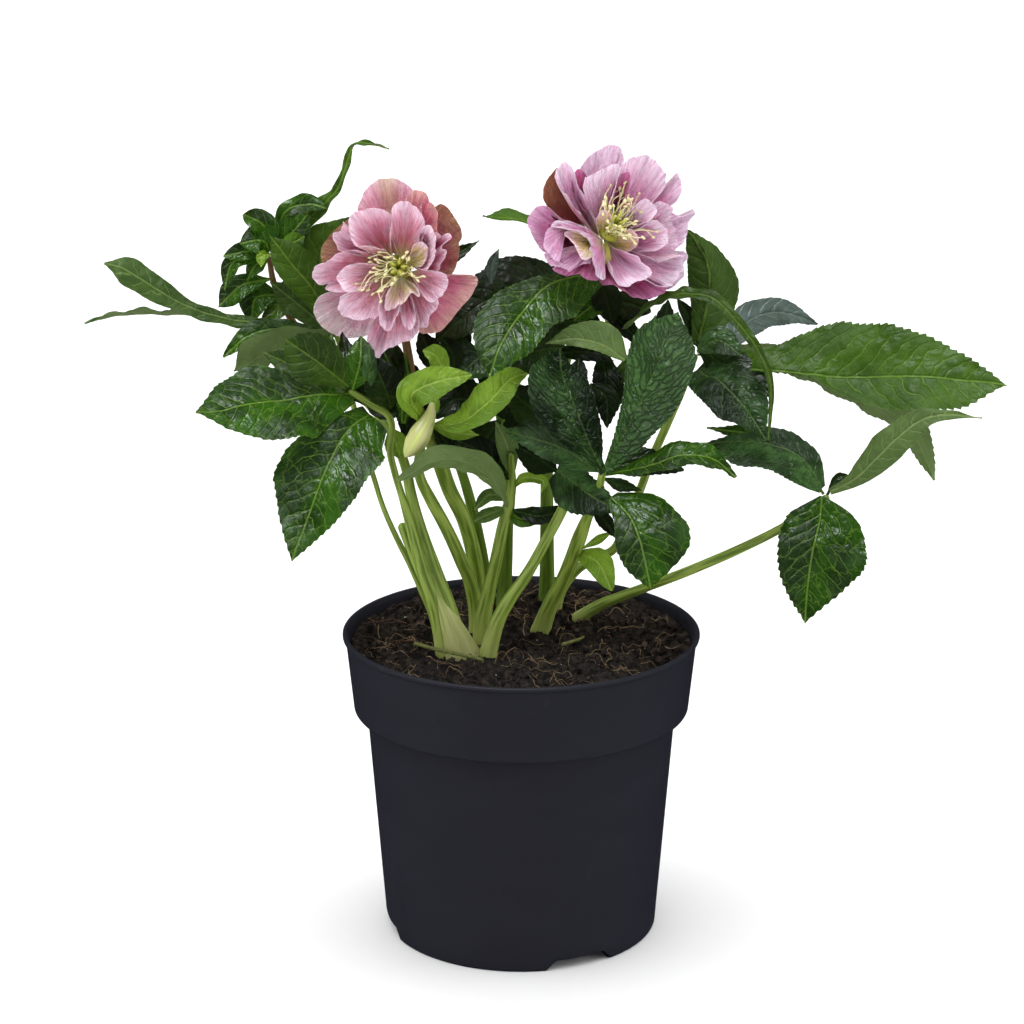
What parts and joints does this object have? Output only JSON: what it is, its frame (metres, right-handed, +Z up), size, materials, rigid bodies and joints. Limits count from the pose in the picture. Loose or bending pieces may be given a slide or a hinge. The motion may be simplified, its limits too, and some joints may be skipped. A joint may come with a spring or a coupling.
{
  "type": "potted hellebore plant",
  "caption": "Double-flowered hellebore in a dark nursery pot: pink blooms, a bud, leafy stems and glossy divided leaves rising from peaty soil.",
  "frame": {"origin": "centre of the flat underside of the pot's floor, on the surface that it stands on", "axes": "+Z up along the pot's axis, -Y towards the front with the open flower, +X to the right as seen from the front"},
  "size_m": [0.4236, 0.17, 0.3817],
  "materials": {
    "pot_plastic": "satin moulded plastic, very dark blue-grey",
    "peat": "rough, moist, crumbly peat with fine roots",
    "stem": "smooth juicy stem with small dark specks",
    "leaf": "glossy leathery leaf with raised pale veins and a toothed edge",
    "bract": "soft young leaf, yellow-green, with fine veins",
    "petal": "soft matt petal with fine darker veins",
    "stamen": "waxy cream filaments and anthers"
  },
  "bodies": {
    "root": {"pot": "pot_plastic", "soil": "peat", "stem_flower_left": "stem", "stem_bud": "stem", "stem_leafy": "stem", "stem_back_left": "stem", "stem_back": "stem", "petiole_centre": "stem", "stem_flower_right": "stem", "petiole_right_high": "stem", "petiole_right_low": "stem", "petiole_left_back": "stem", "stems_left_clump": "stem", "leaf_left_front_long": "leaf", "leaf_left_front_low": "leaf", "leaf_left_front_round": "leaf", "leaf_left_front_inner": "leaf", "leaf_left_back_long": "leaf", "leaf_left_back_edge": "leaf", "leaf_left_back_low": "leaf", "leaf_tuft_long": "leaf", "leaf_tuft_ribbon": "leaf", "bract_upper": "bract", "bract_side": "bract", "leaf_arched_under": "leaf", "leaf_under_right_flower": "leaf", "leaf_dark_behind": "leaf", "leaf_centre_left": "leaf", "leaf_centre_right": "leaf", "leaf_centre_side": "leaf", "leaf_centre_dark": "leaf", "leaf_centre_round": "leaf", "leaf_stem_bright": "bract", "leaf_right_high_upright": "leaf", "leaf_right_high_back": "leaf", "leaf_right_high_big": "leaf", "leaf_right_high_under": "leaf", "leaf_right_high_low": "leaf", "leaf_arching": "leaf", "leaf_right_low_hanging": "leaf", "leaf_right_low_dark": "leaf", "leaf_right_low_rising": "leaf", "leaf_back_light": "leaf", "leaves_tuft": "leaf", "bud": "bract", "sepal_left_top": "petal", "sepal_left_upper_right": "petal", "sepal_left_lower_right": "petal", "sepal_left_lower_left": "petal", "sepal_left_upper_left": "petal", "petals_left": "petal", "stamens_left": "stamen", "sepal_right_top": "petal", "sepal_right_left": "petal", "sepal_right_low_left": "petal", "sepal_right_low_right": "petal", "sepal_right_right": "petal", "petals_right": "petal", "stamens_right": "stamen"}
  },
  "joints": []
}
